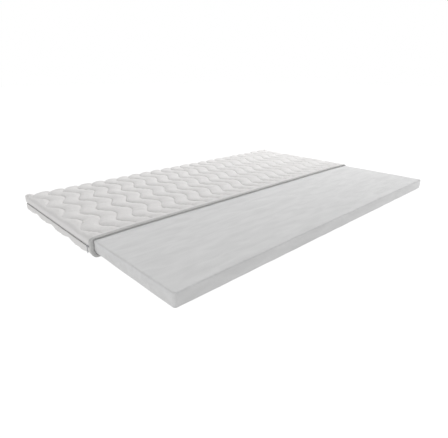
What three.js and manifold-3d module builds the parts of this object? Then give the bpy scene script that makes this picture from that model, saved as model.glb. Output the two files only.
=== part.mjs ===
// A foam mattress topper, half inside its quilted cover.
// A slab of soft foam lies in a zipped cover that covers the back of it. The cover is open towards -Y,
// where a binding goes all round its mouth, and the bare slab shows in front of the mouth.
// The two quilted panels roll round the slab's ends and back edge and meet at a zip at mid height.
// Units are millimetres. X is the long side, Y runs from the bare front edge to the back, Z is up.
// The origin is the middle of the whole object's footprint, on the surface that it lies on.
// Built from three.js geometries; manifold-3d joins and cuts them.

import * as THREE from "three";
import { mergeVertices } from "three/addons/utils/BufferGeometryUtils.js";
import Module from "manifold-3d";

const wasm = await Module();
wasm.setup();

// Foam slab
const coreLength = 2000;
const coreWidth = 1400;
const coreThickness = 60;
const coreEdgeRadius = 6;
const coreCornerRadius = 12;

// Running gap wherever one piece touches another
const gap = 0.3;

// Cover: how much of the slab's width it covers, and the run of its border round the slab
const coveredWidth = 845;
const liningThickness = 0.6;
const borderOverhang = 14; // from the slab's end face out to the border's nose, at a stitch line
const borderRoll = 28; // width over which a panel rolls down from its flat to its nose
const borderCorner = 30; // corner radius of the nose, seen from above
const rollFullness = 2.3; // exponent of the border's rounded section, 2 being an ellipse
const hemThickness = 2.2; // panel between the zip tape and the nose, at a stitch line
const hemOpening = 10; // between the upper and lower hems, where the zip shows

// Quilting: wavy stitch lines that run from the mouth to the back
const channelPitch = 85.5;
const firstLineInset = 28.5; // first line's middle, from the slab's -X end
const waveLength = 215;
const waveSwing = 24; // each side of a line's middle
const waveRounding = 15; // half the stretch over which a line turns round
const upperWaveStart = 25; // from the mouth to a line's first furthest point towards +X
const lowerWaveStart = 49;
const stitchThickness = 3; // panel at a stitch line
const puffHeight = 5.8; // crest of a channel above its stitch lines
const puffFullness = 0.6; // exponent of a puff's rounded section, 1 being a parabola
const hemPuffShare = 0.6; // how much of a puff is left at the hem
const mouthPuffShare = 0.43; // and under the mouth's binding
const restCut = 0.5; // depth to which the crests that the topper lies on are pressed flat
const crestClearance = 0.3; // the other crests stay this much higher
const fullerPuffHeight = restCut + crestClearance; // how much fuller the channels of those crests are
const fullerPuffEvery = 6; // every so many channels is one of them

// Binding round the mouth
const bindingThickness = 0.8;
const bindingLeg = 12; // how far it reaches over the panels
const bindingRoll = 4; // how far its front bulges out

// Zip
const tapeWidth = 10;
const tapeThickness = 0.6;
const chainSlot = 1.6; // between the two tapes and the two coils
const coilWidth = 2.1;
const coilDepth = 2;
const coilRounding = 0.6;
const stopLength = 3;
const endStopLength = 4;
const stopWall = 0.6;
const stopInset = 16; // from the mouth to the stops
const stopInnerWall = 0.4;

// Slider
const sliderInset = 46; // from the mouth to the slider's middle when the zip is shut
const sliderLength = 13;
const sliderFrontWidth = 9;
const sliderBackWidth = 8.4;
const sliderPlate = 1.2;
const sliderFlange = 1;
const postThickness = 1;
const postLength = 2.5;
const postInset = 1;
const crownLength = 9.2;
const crownThickness = 1;
const crownTunnel = 2.9; // height under the crown
const crownLeg = 1.4;

// Pull: a wire loop through the crown, and a tab that hangs on it
const wireDiameter = 1.2;
const loopSpan = 3.3; // between the middles of the loop's two legs
const loopRise = 1.55; // from the crown's middle up to the middle of the loop's top
const loopDrop = 3.4; // and down to the middle of its bottom
const tabLength = 33; // from the loop's bottom to the tab's tip
const tabWidth = 6.6;
const tabNeckWidth = 4.8;
const tabNeckLength = 9;
const tabThickness = 1.2;
const tabEyeRadius = 1.3;
const tabSlotWidth = 2.4;
const tabSlotLength = 14;

// Derived levels, measured up or down from the slab's middle plane
const halfCore = coreThickness / 2;
const liningTop = halfCore + gap + liningThickness;
const panelUnderside = liningTop + gap;
const stitchLevel = panelUnderside + stitchThickness;
const crestLevel = stitchLevel + puffHeight;
const halfOpening = hemOpening / 2;
const restLevel = crestLevel + crestClearance; // the surface that the topper lies on is this far down

// Derived places along the width, measured from the slab's front edge
const mouth = coreWidth - coveredWidth;
const legEnd = mouth + bindingLeg;

// Derived places across the zip, measured outwards from the slab's end face
const pocketFace = borderOverhang - hemThickness;
const tapeOuter = pocketFace - gap;
const tapeInner = tapeOuter - tapeThickness;
const coilInner = tapeOuter + gap;
const coilOuter = coilInner + coilDepth;
const plateInner = coilOuter + gap;
const plateOuter = plateInner + sliderPlate;
const loopAxis = plateOuter + crownTunnel + crownThickness / 2;

// Plan of the border, from the middle of the slab's front edge
const flatHalf = coreLength / 2 + borderOverhang - borderRoll; // half length of a panel's flat
const flatBack = coreWidth + borderOverhang - borderRoll;
const cornerX = coreLength / 2 + borderOverhang - borderCorner;
const cornerY = coreWidth + borderOverhang - borderCorner;
const rollHeight = stitchLevel - halfOpening;
const quarterTurn = Math.PI / 2;
const rollLength = (quarterTurn * (borderRoll + rollHeight)) / 2; // a panel's length along the roll

// Fineness of the rounded shapes
const cornerSteps = 5;
const edgeSteps = 4;
const clothCornerSteps = 4;
const clothEdgeSteps = 3;
const bindingSteps = 12;
const bindingFrontSteps = 6;
const plateSteps = 3;
const crownSteps = 4;
const loopSteps = 8;
const tabSteps = 6;
const nearBorderShares = [0, 0.33, 0.66]; // a panel's columns from the -X seam to its first line
const farBorderShares = [0.35, 0.68, 0.84, 1]; // and from its last line to the +X seam
const rollShares = [0.2, 0.7, 1]; // its rows down the back's roll

const overrun = 5; // how far a cutting body passes what it cuts
const weld = 0.001; // points nearer than this are one

const share = (from, to, part) => from + (to - from) * part;

// A closed geometry as a solid, and back
function solid(geometry) {
  const bare = geometry.index ? geometry.toNonIndexed() : geometry.clone();
  bare.deleteAttribute("normal");
  bare.deleteAttribute("uv");
  const merged = mergeVertices(bare, weld);
  return new wasm.Manifold(
    new wasm.Mesh({
      numProp: 3,
      vertProperties: merged.attributes.position.array,
      triVerts: new Uint32Array(merged.index.array),
    }),
  );
}

function surface(body) {
  const mesh = body.simplify(weld).getMesh();
  const geometry = new THREE.BufferGeometry();
  geometry.setAttribute("position", new THREE.BufferAttribute(mesh.vertProperties, 3));
  geometry.setIndex(new THREE.BufferAttribute(mesh.triVerts, 1));
  const faceted = geometry.toNonIndexed();
  faceted.computeVertexNormals();
  return faceted;
}

function geometryOf(points, triangles) {
  const geometry = new THREE.BufferGeometry();
  geometry.setAttribute("position", new THREE.Float32BufferAttribute(points.flat(), 3));
  geometry.setIndex(triangles.flat());
  return geometry;
}

function box(low, high) {
  const size = high.map((value, axis) => value - low[axis]);
  const geometry = new THREE.BoxGeometry(...size);
  geometry.translate(...low.map((value, axis) => value + size[axis] / 2));
  return geometry;
}

// A body through rings of points that all have as many points, closed on itself or capped at its ends
function loft(rings, closed) {
  const count = rings[0].length;
  const spans = closed ? rings.length : rings.length - 1;
  const triangles = [];
  for (let i = 0; i < spans; i++) {
    const here = i * count;
    const next = ((i + 1) % rings.length) * count;
    for (let j = 0; j < count; j++) {
      const k = (j + 1) % count;
      triangles.push([here + j, here + k, next + k], [here + j, next + k, next + j]);
    }
  }
  if (!closed) {
    const last = (rings.length - 1) * count;
    for (let j = 1; j < count - 1; j++) {
      triangles.push([0, j + 1, j], [last, last + j, last + j + 1]);
    }
  }
  const geometry = geometryOf(rings.flat(), triangles);
  return solid(geometry).volume() < 0 ? flipped(geometry) : geometry;
}

function flipped(geometry) {
  const index = geometry.index.array;
  for (let i = 0; i < index.length; i += 3) {
    [index[i + 1], index[i + 2]] = [index[i + 2], index[i + 1]];
  }
  return geometry;
}

// Rounded slab of the foam's shape, grown by a distance on every side
function grownCore(growth, turnSteps, roundSteps) {
  const radius = coreCornerRadius + growth;
  const edge = coreEdgeRadius + growth;
  const halfX = coreLength / 2 + growth;
  const low = -growth;
  const high = coreWidth + growth;
  const shape = new THREE.Shape();
  shape.absarc(halfX - radius, low + radius, radius, -quarterTurn, 0);
  shape.absarc(halfX - radius, high - radius, radius, 0, quarterTurn);
  shape.absarc(-halfX + radius, high - radius, radius, quarterTurn, 2 * quarterTurn);
  shape.absarc(-halfX + radius, low + radius, radius, 2 * quarterTurn, 3 * quarterTurn);
  const depth = coreThickness + 2 * growth - 2 * edge;
  const geometry = new THREE.ExtrudeGeometry(shape, {
    depth,
    curveSegments: turnSteps,
    bevelThickness: edge,
    bevelSize: edge,
    bevelOffset: -edge,
    bevelSegments: roundSteps,
  });
  geometry.translate(0, 0, -depth / 2);
  return geometry;
}

// Plan outline that follows the cover's border at a distance out from the slab's faces, as points
// from the mouth at -X, round the back, to the mouth at +X. Each is [x, y, outward x, outward y].
function borderPath(start) {
  const turn = (centreX, from) =>
    Array.from({ length: cornerSteps + 1 }, (_, i) => {
      const angle = from - (quarterTurn * i) / cornerSteps;
      return { centreX, centreY: cornerY, out: [Math.cos(angle), Math.sin(angle)] };
    });
  return [
    { centreX: -cornerX, centreY: start, out: [-1, 0] },
    ...turn(-cornerX, 2 * quarterTurn),
    ...turn(cornerX, quarterTurn),
    { centreX: cornerX, centreY: start, out: [1, 0] },
  ];
}

function alongBorder(profile, start) {
  const inward = borderCorner - borderOverhang;
  const rings = borderPath(start).map(({ centreX, centreY, out }) =>
    profile.map(([reach, z]) => [
      centreX + out[0] * (inward + reach),
      centreY + out[1] * (inward + reach),
      z,
    ]),
  );
  return loft(rings, false);
}

// Fraction of the roll's height that is left at a distance in from the nose
function rollRise(inset) {
  const across = Math.min(Math.max(1 - inset / borderRoll, 0), 1);
  return (1 - across ** rollFullness) ** (1 / rollFullness);
}

// A panel is drawn flat and then rolled: this is where a length along the cloth lands in plan
function planReach(along, flat) {
  const past = Math.min(Math.max(along - flat, 0) / rollLength, 1);
  return Math.min(along, flat) + borderRoll * Math.sin(past * quarterTurn) ** (2 / rollFullness);
}

// Point on a panel at stitch level or lifted off it, from its place on the flat cloth
function panelPoint(clothX, clothY, lift) {
  const side = Math.sign(clothX);
  const x = planReach(Math.abs(clothX), flatHalf);
  const y = planReach(clothY, flatBack);
  let pastX = (x - cornerX) / borderCorner;
  let pastY = (y - cornerY) / borderCorner;
  let out = pastX > pastY ? [1, 0] : [0, 1];
  let reach = Math.max(pastX, pastY) * borderCorner;
  if (pastX > 0 && pastY > 0) {
    const flatX = pastX;
    pastX *= Math.sqrt(1 - pastY ** 2 / 2);
    pastY *= Math.sqrt(1 - flatX ** 2 / 2);
    const length = Math.hypot(pastX, pastY);
    out = [pastX / length, pastY / length];
    reach = length * borderCorner;
  }
  const inset = borderCorner - reach;
  const rise = rollRise(inset);
  const across = Math.max(1 - inset / borderRoll, 0);
  const slope = [across ** (rollFullness - 1) / borderRoll, rise ** (rollFullness - 1) / rollHeight];
  const steepness = Math.hypot(...slope);
  const height = lift * share(hemPuffShare, 1, Math.min(inset / borderRoll, 1));
  const outward = (height * slope[0]) / steepness;
  return [
    side * (cornerX + pastX * borderCorner + out[0] * outward),
    cornerY + pastY * borderCorner + out[1] * outward,
    halfOpening + rollHeight * rise + (height * slope[1]) / steepness,
  ];
}

// Stitch lines that run clear of both borders' rolls. Those past them only shape the borders' puffs.
const lineCount = Math.floor((coreLength - 2 * firstLineInset) / channelPitch) + 1;

function stitchLine(number, clothY, waveStart) {
  const phase = (2 * Math.PI * (clothY - mouth - waveStart)) / waveLength;
  return -coreLength / 2 + firstLineInset + number * channelPitch + waveSwing * Math.cos(phase);
}

// Rows of the panel's net: two round each turn of the wave, and a few down the back's roll
function netRows(waveStart) {
  const rows = [mouth, legEnd + gap];
  const first = legEnd + waveRounding;
  const last = flatBack - 3 * waveRounding;
  for (let turn = mouth + waveStart; turn < last + waveRounding; turn += waveLength / 2) {
    const round = [turn - waveRounding, turn + waveRounding];
    rows.push(...round.filter((row) => row > first && row < last));
  }
  return [...rows, ...rollShares.map((part) => flatBack + part * rollLength)];
}

// Columns of one row: [place on the cloth, height as a share of a puff, channel number]
function netColumns(clothY, waveStart) {
  const edge = flatHalf + rollLength;
  const line = (number) => stitchLine(number, clothY, waveStart);
  const puff = (clothX) => {
    const across = (clothX - line(-1)) / channelPitch;
    const part = across - Math.floor(across);
    return (4 * part * (1 - part)) ** puffFullness;
  };
  const border = (from, to, shares) =>
    shares.map((part) => share(from, to, part)).map((clothX) => [clothX, puff(clothX), -1]);
  const columns = border(-edge, line(0), nearBorderShares);
  for (let number = 0; number < lineCount; number++) {
    columns.push([line(number), 0, -1]);
    if (number < lineCount - 1) columns.push([line(number) + channelPitch / 2, 1, number]);
  }
  return [...columns, ...border(line(lineCount - 1), edge, farBorderShares)];
}

// The two triangles of a four-sided facet, parted along the diagonal that stands further out
function fullerPair(points, a, b, c, d) {
  const [pointA, pointB, pointC, pointD] = [a, b, c, d].map((i) => new THREE.Vector3(...points[i]));
  const first = pointC.clone().sub(pointA);
  const outward = first.cross(pointD.clone().sub(pointB));
  if (pointA.add(pointC).dot(outward) > pointB.add(pointD).dot(outward)) return [[a, b, c], [a, c, d]];
  return [[a, b, d], [b, c, d]];
}

// Outer face of a panel over a flat base at the hem. The lower panel is the upper one turned over.
function panelBody(waveStart, fuller, below) {
  const rows = netRows(waveStart);
  const rise = 2 * waveRounding;
  const net = rows.map((clothY) => {
    const open = Math.min(Math.max((clothY - legEnd - gap) / rise, 0), 1);
    return netColumns(clothY, waveStart).map(([clothX, puff, channel]) => {
      const extra = channel >= 0 && channel % fullerPuffEvery === 1 ? fuller : 0;
      const lift = share(mouthPuffShare * puffHeight, puff * (puffHeight + extra), open);
      return panelPoint(clothX, clothY, lift);
    });
  });
  const width = net[0].length;
  const at = (row, column) => row * width + column;
  const triangles = [];
  const points = net.flat();
  for (let row = 0; row < rows.length - 1; row++) {
    for (let column = 0; column < width - 1; column++) {
      const [a, b] = [at(row, column), at(row, column + 1)];
      const [c, d] = [at(row + 1, column + 1), at(row + 1, column)];
      triangles.push(...fullerPair(points, a, b, c, d));
    }
  }
  const fill = (loop, across, up, facing) => {
    const outline = loop.map((i) => new THREE.Vector2(points[i][across], points[i][up]));
    for (const [i, j, k] of THREE.ShapeUtils.triangulateShape(outline, [])) {
      const turn = THREE.ShapeUtils.area([outline[i], outline[j], outline[k]]);
      triangles.push(turn * facing > 0 ? [loop[i], loop[j], loop[k]] : [loop[i], loop[k], loop[j]]);
    }
  };
  const last = rows.length - 1;
  const mouthEdge = net[0].map((_, column) => at(0, column));
  const backEdge = net[0].map((_, column) => at(last, column));
  const sideEdge = (column) => rows.map((_, row) => at(row, column));
  const hem = [
    ...sideEdge(0),
    ...backEdge.slice(1),
    ...sideEdge(width - 1)
      .toReversed()
      .slice(1),
  ];
  fill(mouthEdge, 0, 2, 1);
  fill(hem, 0, 1, -1);
  const geometry = geometryOf(points, triangles);
  if (below) {
    geometry.scale(1, 1, -1);
    flipped(geometry);
  }
  return solid(geometry);
}

function quilt(below) {
  const outside = below
    ? panelBody(lowerWaveStart, fullerPuffHeight, true)
    : panelBody(upperWaveStart, 0, false);
  const pocketHeight = tapeWidth + chainSlot / 2 + gap;
  const reach = coreLength / 2;
  const pocket = alongBorder(
    [
      [pocketFace, -pocketHeight],
      [pocketFace, pocketHeight],
      [0, pocketHeight],
      [0, -pocketHeight],
    ],
    mouth - overrun,
  );
  const inside = solid(grownCore(panelUnderside - halfCore, clothCornerSteps, clothEdgeSteps));
  let body = outside.subtract(inside).subtract(solid(pocket));
  if (below) {
    const bed = box(
      [-reach - overrun - borderRoll, -overrun, -restLevel - puffHeight],
      [reach + overrun + borderRoll, coreWidth + borderRoll, -restLevel],
    );
    body = body.subtract(solid(bed));
  }
  return surface(body);
}

function lining(below) {
  const outside = solid(grownCore(gap + liningThickness, clothCornerSteps, clothEdgeSteps));
  const sheet = outside.subtract(solid(grownCore(gap, cornerSteps, edgeSteps)));
  const reach = coreLength / 2 + borderRoll;
  const edge = tapeWidth + chainSlot / 2 + gap;
  const low = below ? -coreThickness : edge;
  const high = below ? -edge : coreThickness;
  const keep = box([-reach, legEnd + gap, low], [reach, coreWidth + borderRoll, high]);
  return surface(sheet.intersect(solid(keep)));
}

function zipTape(side) {
  const near = (side * chainSlot) / 2;
  const far = near + side * tapeWidth;
  return alongBorder(
    [
      [tapeInner, near],
      [tapeOuter, near],
      [tapeOuter, far],
      [tapeInner, far],
    ],
    mouth,
  );
}

function zipCoil(side) {
  const near = (side * chainSlot) / 2;
  const far = near + side * coilWidth;
  const step = side * coilRounding;
  return alongBorder(
    [
      [coilInner, near],
      [coilOuter - coilRounding, near],
      [coilOuter, near + step],
      [coilOuter, far - step],
      [coilOuter - coilRounding, far],
      [coilInner, far],
    ],
    mouth,
  );
}

// A clip over one coil: three walls, open towards the tape
function zipStop(side) {
  const nearInner = (side * chainSlot) / 2 - side * gap;
  const near = nearInner - side * stopInnerWall;
  const farInner = side * (chainSlot / 2 + coilWidth + gap);
  return stopClip(-1, near, nearInner, farInner, farInner + side * stopWall, stopLength);
}

function endStop() {
  const inner = chainSlot / 2 + coilWidth + gap;
  return stopClip(1, -inner - stopWall, -inner, inner, inner + stopWall, endStopLength);
}

function stopClip(end, near, nearInner, farInner, far, length) {
  const shape = new THREE.Shape(
    [
      [coilInner, near],
      [coilOuter + gap + stopWall, near],
      [coilOuter + gap + stopWall, far],
      [coilInner, far],
      [coilInner, farInner],
      [coilOuter + gap, farInner],
      [coilOuter + gap, nearInner],
      [coilInner, nearInner],
    ].map(([reach, z]) => new THREE.Vector2(reach, z)),
  );
  const geometry = new THREE.ExtrudeGeometry(shape, { depth: length, bevelEnabled: false });
  geometry.rotateX(quarterTurn);
  if (end < 0) geometry.rotateZ(Math.PI);
  const front = mouth + stopInset + (end > 0 ? length : 0);
  geometry.translate((end * coreLength) / 2, front, 0);
  return geometry;
}

// Slider pieces are drawn with x outwards from the slab's end face, y along the zip and z up
function sliderOutline() {
  const half = sliderLength / 2;
  const front = sliderFrontWidth / 2;
  const back = sliderBackWidth / 2;
  const cut = sliderFlange;
  const shape = new THREE.Shape();
  shape.moveTo(-half, -front + cut);
  shape.quadraticCurveTo(-half, -front, -half + cut, -front);
  shape.lineTo(half - cut, -back);
  shape.quadraticCurveTo(half, -back, half, -back + cut);
  shape.lineTo(half, back - cut);
  shape.quadraticCurveTo(half, back, half - cut, back);
  shape.lineTo(-half + cut, front);
  shape.quadraticCurveTo(-half, front, -half, front - cut);
  shape.closePath();
  return shape;
}

function plateBetween(shape, low, high) {
  const geometry = new THREE.ExtrudeGeometry(shape, {
    depth: high - low,
    bevelEnabled: false,
    curveSegments: plateSteps,
  });
  geometry.rotateX(quarterTurn);
  geometry.rotateZ(quarterTurn);
  geometry.translate(low, 0, 0);
  return geometry;
}

function crown() {
  const half = crownLength / 2;
  const top = plateOuter + crownTunnel + crownThickness;
  const under = plateOuter + crownTunnel;
  const root = plateOuter - sliderPlate / 2;
  const shape = new THREE.Shape();
  shape.moveTo(root, -half);
  shape.quadraticCurveTo(top, -half, top, -half / 2);
  shape.lineTo(top, half / 2);
  shape.quadraticCurveTo(top, half, root, half);
  shape.lineTo(root, half - crownLeg);
  shape.quadraticCurveTo(under, half - crownLeg, under, half / 2 - crownLeg / 2);
  shape.lineTo(under, -half / 2 + crownLeg / 2);
  shape.quadraticCurveTo(under, -half + crownLeg, root, -half + crownLeg);
  shape.closePath();
  const geometry = new THREE.ExtrudeGeometry(shape, {
    depth: crownThickness,
    bevelEnabled: false,
    curveSegments: crownSteps,
  });
  geometry.translate(0, 0, -crownThickness / 2);
  return geometry;
}

function slider() {
  const outline = sliderOutline();
  const half = sliderLength / 2;
  const flangeInner = sliderBackWidth / 2 - sliderFlange;
  let body = solid(plateBetween(outline, plateInner, plateOuter));
  const flange = box([coilInner, -half, flangeInner], [plateInner + gap, half, sliderFrontWidth]);
  const rim = solid(plateBetween(outline, coilInner, plateOuter));
  body = body.add(rim.intersect(solid(flange)));
  flange.scale(1, 1, -1);
  body = body.add(rim.intersect(solid(flipped(flange))));
  const inner = tapeInner - gap;
  body = body.add(solid(plateBetween(outline, inner - sliderPlate, inner)));
  const post = box(
    [inner - gap, -half + postInset, -postThickness / 2],
    [plateInner + gap, -half + postInset + postLength, postThickness / 2],
  );
  return surface(body.add(solid(post)).add(solid(crown())));
}

// The loop is a stadium in the plane across the zip, seen along Y
function pullLink() {
  const radius = loopSpan / 2;
  const centres = [];
  for (let i = 0; i <= loopSteps; i++) {
    const angle = (Math.PI * i) / loopSteps;
    centres.push([Math.cos(angle), Math.sin(angle), loopRise - radius]);
  }
  for (let i = 0; i <= loopSteps; i++) {
    const angle = Math.PI + (Math.PI * i) / loopSteps;
    centres.push([Math.cos(angle), Math.sin(angle), -loopDrop + radius]);
  }
  const wire = wireDiameter / 2;
  const rings = centres.map(([cos, sin, level]) =>
    Array.from({ length: loopSteps }, (_, j) => {
      const around = (2 * Math.PI * j) / loopSteps;
      const from = radius + wire * Math.cos(around);
      return [from * cos, wire * Math.sin(around), level + from * sin];
    }),
  );
  return loft(rings, true);
}

// The tab hangs from the loop's bottom, its eye on the origin, in the plane of the slab's end face
function pullTab() {
  const neck = tabNeckWidth / 2;
  const half = tabWidth / 2;
  const shape = new THREE.Shape();
  shape.absarc(0, 0, neck, 0, Math.PI);
  shape.bezierCurveTo(-neck, -tabNeckLength / 2, -half, -tabNeckLength / 2, -half, -tabNeckLength);
  shape.lineTo(-half, -tabLength + half);
  shape.absarc(0, -tabLength + half, half, Math.PI, 2 * Math.PI);
  shape.lineTo(half, -tabNeckLength);
  shape.bezierCurveTo(half, -tabNeckLength / 2, neck, -tabNeckLength / 2, neck, 0);
  const eye = new THREE.Path();
  eye.absarc(0, 0, tabEyeRadius, 0, 2 * Math.PI, true);
  const slotRadius = tabSlotWidth / 2;
  const slotLow = -tabLength + half;
  const slot = new THREE.Path();
  slot.absarc(0, slotLow, slotRadius, 0, Math.PI, true);
  slot.absarc(0, slotLow + tabSlotLength, slotRadius, Math.PI, 0, true);
  slot.closePath();
  shape.holes.push(eye, slot);
  const geometry = new THREE.ExtrudeGeometry(shape, {
    depth: tabThickness,
    bevelEnabled: false,
    curveSegments: tabSteps,
  });
  geometry.translate(0, 0, -tabThickness / 2);
  geometry.rotateX(quarterTurn);
  geometry.rotateZ(quarterTurn);
  return geometry;
}

// The binding is a U folded over the panels' cut edge, carried all round the mouth
function mouthBinding() {
  const innerRadius = coreEdgeRadius + gap;
  const levelInner = halfCore + gap;
  const endInner = coreLength / 2 + gap;
  const cornerInnerX = endInner - innerRadius;
  const cornerInnerZ = levelInner - innerRadius;
  const topRun = cornerInnerX - flatHalf;
  const arcRun = quarterTurn * innerRadius;
  const sideRun = cornerInnerZ - halfOpening;
  const innerPoint = (part) => {
    const along = part * (topRun + arcRun + sideRun);
    if (along < topRun) return { at: [flatHalf + along, levelInner], out: [0, 1] };
    if (along < topRun + arcRun) {
      const angle = quarterTurn - (along - topRun) / innerRadius;
      const out = [Math.cos(angle), Math.sin(angle)];
      return {
        at: [cornerInnerX + innerRadius * out[0], cornerInnerZ + innerRadius * out[1]],
        out,
      };
    }
    return { at: [endInner, cornerInnerZ - (along - topRun - arcRun)], out: [1, 0] };
  };
  const outerPoint = (part, lift) => {
    const [x, , z] = panelPoint(flatHalf + part * rollLength, mouth, lift);
    return [x, z];
  };
  const flatPuff = mouthPuffShare * puffHeight;
  const station = (part) => {
    const inner = innerPoint(part);
    const base = outerPoint(part, flatPuff);
    const probe = outerPoint(part, flatPuff + puffHeight);
    const length = Math.hypot(probe[0] - base[0], probe[1] - base[1]);
    const out = base.map((value, axis) => (probe[axis] - value) / length);
    const grow = (from, way, by) => from.map((value, axis) => value + way[axis] * by);
    return {
      lowFace: inner.at,
      lowBack: grow(inner.at, inner.out, liningThickness),
      highBack: grow(base, out, gap),
      highFace: grow(base, out, gap + bindingThickness),
    };
  };
  const quarter = Array.from({ length: bindingSteps + 1 }, (_, i) => station(i / bindingSteps));
  const mirrored = (stations, signX, signZ) =>
    stations.map((place) =>
      Object.fromEntries(
        Object.entries(place).map(([name, [x, z]]) => [name, [x * signX, z * signZ]]),
      ),
    );
  const stations = [
    ...mirrored(quarter, 1, 1),
    ...mirrored(quarter.toReversed(), 1, -1),
    ...mirrored(quarter, -1, -1),
    ...mirrored(quarter.toReversed(), -1, 1),
  ];
  const wall = mouth - gap;
  const fold = wall - bindingThickness;
  const rings = stations.map(({ lowFace, lowBack, highBack, highFace }) => {
    const place = ([x, z], y) => [x, y, z];
    const front = Array.from({ length: bindingFrontSteps + 1 }, (_, i) => {
      const angle = (Math.PI * i) / bindingFrontSteps;
      const part = (1 - Math.cos(angle)) / 2;
      const at = lowFace.map((value, axis) => share(value, highFace[axis], part));
      return place(at, fold - bindingRoll * Math.sin(angle));
    });
    return [
      place(lowFace, legEnd),
      ...front,
      place(highFace, legEnd),
      place(highBack, legEnd),
      place(highBack, wall),
      place(lowBack, wall),
      place(lowBack, legEnd),
    ];
  });
  return loft(rings, true);
}

// Finishes
const finish = (color, roughness, metalness) =>
  new THREE.MeshStandardMaterial({ color, roughness, metalness });
const foam = finish(0xf1f1f0, 0.95, 0);
const ticking = finish(0xf4f4f3, 0.9, 0);
const backing = finish(0xe9e9e8, 0.9, 0);
const tape = finish(0xdcdcda, 0.85, 0);
const nylon = finish(0xd2d2d2, 0.5, 0);
const binding = finish(0xc9c9c8, 0.85, 0);
const nickel = finish(0xbfc1c3, 0.3, 1);

const topper = new THREE.Group();
const assembly = new THREE.Group();
assembly.position.set(0, -(coreWidth + borderOverhang + hemPuffShare * puffHeight) / 2, restLevel);
topper.add(assembly);

function piece(name, geometry, material, parent = assembly) {
  const mesh = new THREE.Mesh(geometry, material);
  mesh.name = name;
  parent.add(mesh);
  return mesh;
}

piece("foam_core", grownCore(0, cornerSteps, edgeSteps), foam);

const cover = new THREE.Group();
assembly.add(cover);
piece("upper_quilt", quilt(false), ticking, cover);
piece("lower_quilt", quilt(true), ticking, cover);
piece("upper_lining", lining(false), backing, cover);
piece("lower_lining", lining(true), backing, cover);
piece("upper_zip_tape", zipTape(1), tape, cover);
piece("lower_zip_tape", zipTape(-1), tape, cover);
piece("upper_zip_coil", zipCoil(1), nylon, cover);
piece("lower_zip_coil", zipCoil(-1), nylon, cover);
piece("upper_zip_stop", zipStop(1), nickel, cover);
piece("lower_zip_stop", zipStop(-1), nickel, cover);
piece("zip_end_stop", endStop(), nickel, cover);
piece("mouth_binding", mouthBinding(), binding, cover);

// The slider's group has x pointing out of the cover's -X end and y towards the back
const sliderGroup = new THREE.Group();
sliderGroup.position.set(-coreLength / 2, mouth + sliderInset, 0);
cover.add(sliderGroup);
const facingOut = new THREE.Group();
facingOut.rotation.set(0, Math.PI, 0);
sliderGroup.add(facingOut);
piece("zip_slider", slider(), nickel, facingOut);
const linkGroup = new THREE.Group();
linkGroup.position.set(loopAxis, 0, 0);
facingOut.add(linkGroup);
linkGroup.rotation.set(0, Math.PI, 0);
piece("zip_pull_link", pullLink(), nickel, linkGroup);
const tabMesh = piece("zip_pull_tab", pullTab(), nickel, linkGroup);
tabMesh.position.set(0, 0, -loopDrop);

export default topper;
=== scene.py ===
# A foam mattress topper, half inside its quilted cover: the looks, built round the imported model.
# Metres throughout. X is the long side, Y runs from the bare front edge to the back, Z is up.
import math

import bpy
import mathutils
import numpy as np
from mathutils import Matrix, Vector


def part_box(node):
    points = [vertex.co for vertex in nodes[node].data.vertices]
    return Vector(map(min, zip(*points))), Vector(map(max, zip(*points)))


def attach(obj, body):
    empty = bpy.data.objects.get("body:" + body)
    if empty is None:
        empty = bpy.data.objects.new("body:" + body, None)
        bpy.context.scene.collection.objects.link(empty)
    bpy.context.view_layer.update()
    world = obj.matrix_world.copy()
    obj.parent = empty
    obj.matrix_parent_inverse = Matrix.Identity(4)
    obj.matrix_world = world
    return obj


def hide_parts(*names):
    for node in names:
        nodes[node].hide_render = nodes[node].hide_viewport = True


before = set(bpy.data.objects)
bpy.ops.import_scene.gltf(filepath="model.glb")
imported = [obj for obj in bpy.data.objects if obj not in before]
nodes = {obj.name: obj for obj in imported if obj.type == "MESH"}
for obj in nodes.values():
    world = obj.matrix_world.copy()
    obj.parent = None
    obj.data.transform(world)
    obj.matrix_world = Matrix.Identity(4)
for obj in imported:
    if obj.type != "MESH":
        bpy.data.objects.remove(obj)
scene = bpy.context.scene
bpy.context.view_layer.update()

slabLow, slabHigh = (np.array(corner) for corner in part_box("foam_core"))
frontY = slabLow[1]
middleZ = (slabLow[2] + slabHigh[2]) / 2
halfSlab = (slabHigh[2] - slabLow[2]) / 2
quarter = math.pi / 2
floorClearance = 0.0001  # no cloth or thread comes lower


# ---- Helpers: meshes

def gridQuads(rows, columns, closedRows=False, closedColumns=False):
    # Four corners of every cell of a grid of points, numbered row by row
    index = np.arange(rows * columns).reshape(rows, columns)
    if closedRows:
        index = np.vstack([index, index[:1]])
    if closedColumns:
        index = np.hstack([index, index[:, :1]])
    corners = [index[:-1, :-1], index[:-1, 1:], index[1:, 1:], index[1:, :-1]]
    return np.stack(corners, -1).reshape(-1, 4)


def makeMesh(name, points, quads, triangles=None, uv=None):
    sides = [np.asarray(quads, int).reshape(-1, 4)]
    if triangles is not None:
        sides.append(np.asarray(triangles, int).reshape(-1, 3))
    loops = np.concatenate([part.ravel() for part in sides])
    counts = np.concatenate([np.full(len(part), part.shape[1]) for part in sides])
    mesh = bpy.data.meshes.new(name)
    mesh.vertices.add(len(points))
    mesh.vertices.foreach_set("co", np.asarray(points, float).ravel())
    mesh.loops.add(len(loops))
    mesh.loops.foreach_set("vertex_index", loops)
    mesh.polygons.add(len(counts))
    mesh.polygons.foreach_set("loop_start", np.cumsum(counts) - counts)
    mesh.polygons.foreach_set("use_smooth", np.ones(len(counts), bool))
    if uv is not None:
        layer = mesh.uv_layers.new(name="cloth")
        layer.data.foreach_set("uv", np.asarray(uv, float)[loops].ravel())
    mesh.update(calc_edges=True)
    mesh.validate()
    return mesh


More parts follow.
